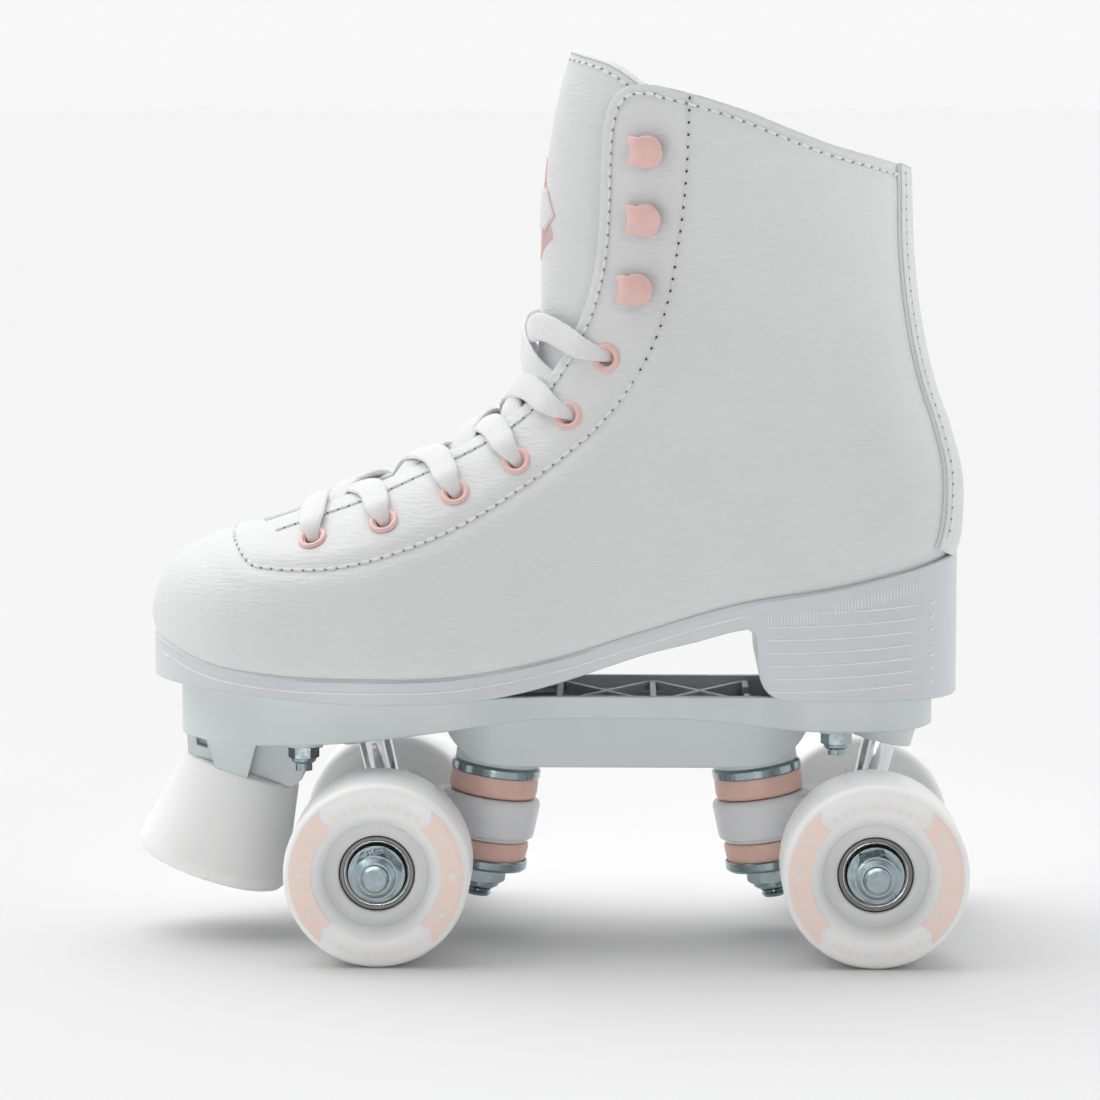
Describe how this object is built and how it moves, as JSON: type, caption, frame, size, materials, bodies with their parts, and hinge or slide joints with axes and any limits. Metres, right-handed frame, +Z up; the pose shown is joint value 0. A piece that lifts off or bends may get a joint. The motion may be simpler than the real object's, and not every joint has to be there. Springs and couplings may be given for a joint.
{
  "type": "quad roller skate",
  "caption": "High lace-up boot on a moulded base plate with a toe stop, sprung steering trucks and free-spinning wheels.",
  "frame": {"origin": "on the floor under the middle of the wheelbase, in the centre plane of the skate", "axes": "+Z up, -X towards the toe, -Y towards the wearer's left"},
  "size_m": [0.2471, 0.134, 0.2633],
  "materials": {
    "white_leather": "smooth synthetic leather with a fine grain",
    "white_lining": "soft knitted lining",
    "white_lace": "flat woven lace",
    "white_sole": "satin moulded",
    "white_plate": "satin moulded",
    "white_hanger": "satin white",
    "white_wheel": "satin cast urethane, printed ring on the outer face",
    "white_hub": "moulded",
    "pink_cushion": "satin cast urethane",
    "white_stop": "satin cast urethane",
    "pink_eyelet": "gloss lacquer",
    "zinc_steel": "zinc plated",
    "bearing_steel": "ground and polished",
    "bearing_ring": "dark satin",
    "pivot_rubber": "matt"
  },
  "bodies": {
    "chassis": {"boot_upper": "white_leather", "boot_lining": "white_lining", "eyestays": "white_leather", "tongue": "white_leather", "backstay": "white_leather", "sole_unit": "white_sole", "insole": "white_lining", "lace": "white_lace", "eyelets": "pink_eyelet", "hooks": "pink_eyelet", "mounting_bolts": "zinc_steel", "mounting_nuts": "zinc_steel", "base_plate": "white_plate", "toe_stop": "white_stop", "toe_stop_washer": "zinc_steel", "toe_stop_bolt": "zinc_steel", "front_kingpin": "zinc_steel", "front_kingpin_nut": "zinc_steel", "front_upper_washer": "zinc_steel", "front_lower_washer": "zinc_steel", "front_upper_cushion": "pink_cushion", "front_lower_cushion": "pink_cushion", "front_pivot_cup": "pivot_rubber", "rear_kingpin": "zinc_steel", "rear_kingpin_nut": "zinc_steel", "rear_upper_washer": "zinc_steel", "rear_lower_washer": "zinc_steel", "rear_upper_cushion": "pink_cushion", "rear_lower_cushion": "pink_cushion", "rear_pivot_cup": "pivot_rubber"},
    "front_truck": {"front_hanger": "white_hanger", "front_pivot_pin": "bearing_steel", "front_axle": "zinc_steel", "front_axle_nuts": "zinc_steel", "front_axle_washers": "zinc_steel", "front_inner_rings": "bearing_steel", "front_bearing_spacers": "zinc_steel", "front_bearing_balls": "bearing_steel"},
    "rear_truck": {"rear_hanger": "white_hanger", "rear_pivot_pin": "bearing_steel", "rear_axle": "zinc_steel", "rear_axle_nuts": "zinc_steel", "rear_axle_washers": "zinc_steel", "rear_inner_rings": "bearing_steel", "rear_bearing_spacers": "zinc_steel", "rear_bearing_balls": "bearing_steel"},
    "front_left_wheel": {"front_left_tyre": "white_wheel", "front_left_hub": "white_hub", "front_left_outer_rings": "bearing_ring"},
    "front_right_wheel": {"front_right_tyre": "white_wheel", "front_right_hub": "white_hub", "front_right_outer_rings": "bearing_ring"},
    "rear_left_wheel": {"rear_left_tyre": "white_wheel", "rear_left_hub": "white_hub", "rear_left_outer_rings": "bearing_ring"},
    "rear_right_wheel": {"rear_right_tyre": "white_wheel", "rear_right_hub": "white_hub", "rear_right_outer_rings": "bearing_ring"}
  },
  "joints": [
    {"name": "front_truck_steer", "type": "hinge", "parent": "chassis", "child": "front_truck", "pos_m": [-0.0768, 0, 0.062], "axis": [0.7962, 0, -0.605], "range_deg": [-8, 8], "stiffness_Nm_per_rad": 5, "deforming": ["front_upper_cushion", "front_lower_cushion"]},
    {"name": "front_left_wheel_spin", "type": "hinge", "parent": "front_truck", "child": "front_left_wheel", "pos_m": [-0.072, -0.045, 0.027], "axis": [0, 1, 0], "continuous": true},
    {"name": "front_right_wheel_spin", "type": "hinge", "parent": "front_truck", "child": "front_right_wheel", "pos_m": [-0.072, 0.045, 0.027], "axis": [0, 1, 0], "continuous": true},
    {"name": "rear_truck_steer", "type": "hinge", "parent": "chassis", "child": "rear_truck", "pos_m": [0.0768, 0, 0.062], "axis": [-0.7962, 0, -0.605], "range_deg": [-8, 8], "stiffness_Nm_per_rad": 5, "deforming": ["rear_upper_cushion", "rear_lower_cushion"]},
    {"name": "rear_left_wheel_spin", "type": "hinge", "parent": "rear_truck", "child": "rear_left_wheel", "pos_m": [0.072, -0.045, 0.027], "axis": [0, 1, 0], "continuous": true},
    {"name": "rear_right_wheel_spin", "type": "hinge", "parent": "rear_truck", "child": "rear_right_wheel", "pos_m": [0.072, 0.045, 0.027], "axis": [0, 1, 0], "continuous": true}
  ]
}
